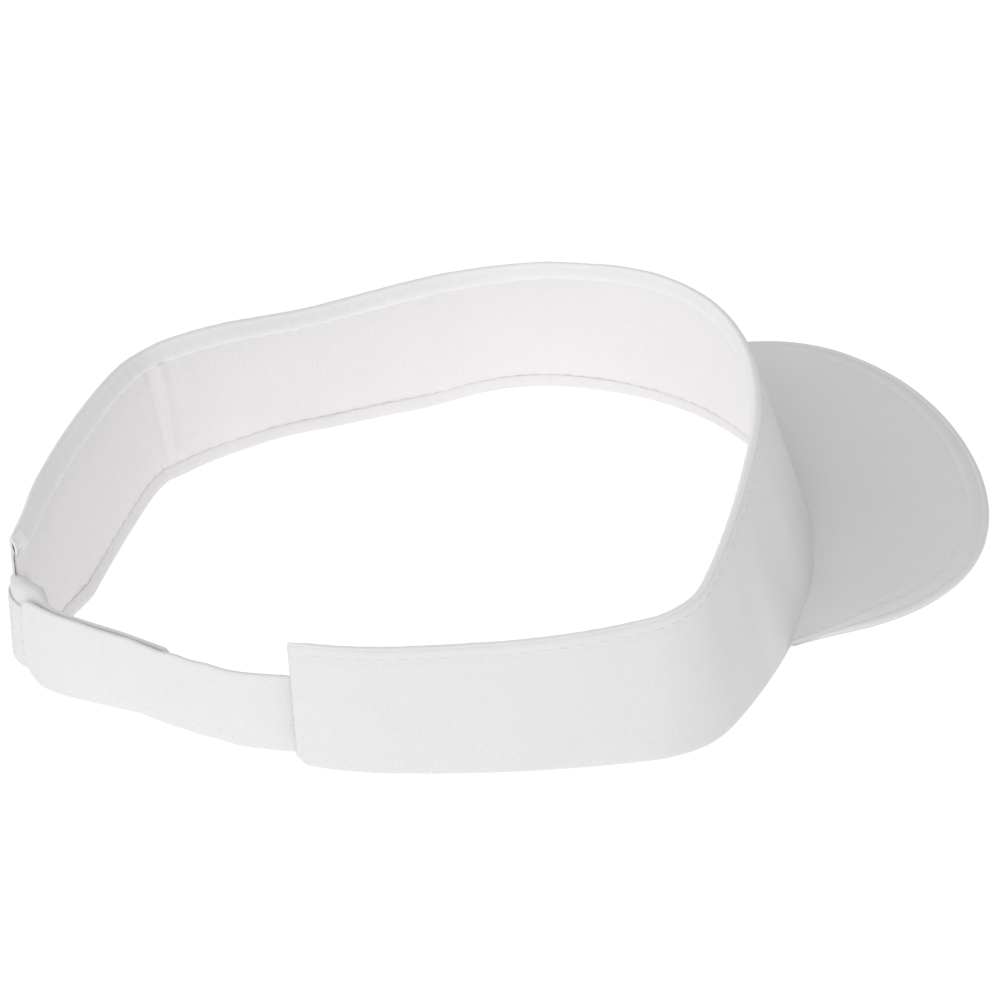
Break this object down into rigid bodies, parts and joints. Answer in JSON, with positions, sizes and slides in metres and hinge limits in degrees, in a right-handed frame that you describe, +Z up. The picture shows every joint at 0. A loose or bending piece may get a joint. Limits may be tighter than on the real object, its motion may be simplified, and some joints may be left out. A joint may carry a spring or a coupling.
{
  "type": "sun visor",
  "caption": "Open-crown cloth sun visor: curved headband with sweatband, stiffened front brim and a rear hook-and-loop strap closure.",
  "frame": {"origin": "on the surface the band's lower edge stands on, under the middle of the visor's bounding box", "axes": "+X the wearer's left, -Y the front, where the brim points, +Z up"},
  "size_m": [0.1764, 0.2358, 0.0555],
  "materials": {
    "outer_twill": "white cotton twill",
    "buckram": "stiff woven interlining",
    "lining": "soft pinkish white brushed lining",
    "binding": "white cotton tape",
    "brim_board": "stiff plastic sheet",
    "strap_twill": "folded white cotton twill strap",
    "loop_tape": "white looped pile",
    "hook_tape": "white hooked nylon, ribbed along its length",
    "thread": "white sewing thread"
  },
  "bodies": {
    "headband": {"shell": "outer_twill", "front_stiffener": "buckram", "sweatband": "lining", "sweatband_binding": "binding", "brim_top_cover": "outer_twill", "brim_board": "brim_board", "brim_under_cover": "outer_twill", "right_strap_tail": "strap_twill", "left_strap_tail": "strap_twill", "top_edge_thread": "thread", "brim_thread": "thread", "right_panel_thread": "thread", "left_panel_thread": "thread"},
    "loop_strap": {"right_strap": "strap_twill", "loop_tape": "loop_tape", "loop_thread": "thread"},
    "hook_strap": {"left_strap": "strap_twill", "hook_tape": "hook_tape", "hook_thread": "thread"}
  },
  "joints": [
    {"name": "loop_strap_peel", "type": "hinge", "parent": "headband", "child": "loop_strap", "pos_m": [-0.05979, 0.0717, 0.01275], "axis": [-0.0994, 0.0926, 0.9907], "range_deg": [0, 100]},
    {"name": "hook_strap_flex", "type": "hinge", "parent": "headband", "child": "hook_strap", "pos_m": [-0.00029, 0.11257, 0.01275], "axis": [-0.0059, 0.1821, 0.9833], "range_deg": [0, 35]}
  ]
}
